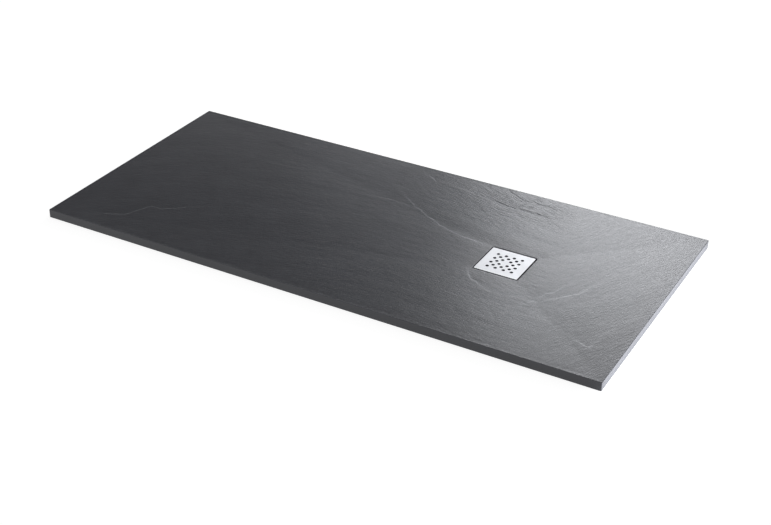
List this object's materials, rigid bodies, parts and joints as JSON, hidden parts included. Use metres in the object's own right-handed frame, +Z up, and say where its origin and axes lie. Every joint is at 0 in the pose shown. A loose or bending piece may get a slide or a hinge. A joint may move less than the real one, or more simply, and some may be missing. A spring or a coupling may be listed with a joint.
{
  "type": "shower tray",
  "caption": "Low rectangular slate-effect shower tray that falls to a square perforated drain grate near one end, with the waste trap that hangs beneath it.",
  "frame": {"origin": "centre of the tray's flat underside, on the floor that it is bedded on", "axes": "+X along the tray towards the drain's end, +Y across it to the side that the waste outlet leaves by, +Z up"},
  "size_m": [1.7, 0.8, 0.1158],
  "materials": {
    "slate_resin": "satin",
    "stainless": "satin",
    "black_rubber": "matte",
    "white_polypropylene": "satin",
    "black_polypropylene": "satin"
  },
  "bodies": {
    "tray": {"tray_body": "slate_resin", "waste_flange": "black_polypropylene", "flange_gasket": "black_rubber", "body_gasket": "black_rubber", "trap_body": "white_polypropylene", "outlet_seal": "black_rubber", "outlet_nut": "white_polypropylene"},
    "grate": {"drain_grate": "stainless", "grate_pads": "black_rubber"},
    "cup": {"siphon_cup": "black_polypropylene", "cup_seal": "black_rubber"}
  },
  "joints": [
    {"name": "grate_lift", "type": "slide", "parent": "tray", "child": "grate", "axis": [0, 0, 1], "range_m": [0, 0.24]},
    {"name": "cup_lift", "type": "slide", "parent": "tray", "child": "cup", "axis": [0, 0, 1], "range_m": [0, 0.12]}
  ],
  "couplings": [
    {"joint": "cup_lift", "follows": "grate_lift", "ratio": 0.5}
  ]
}
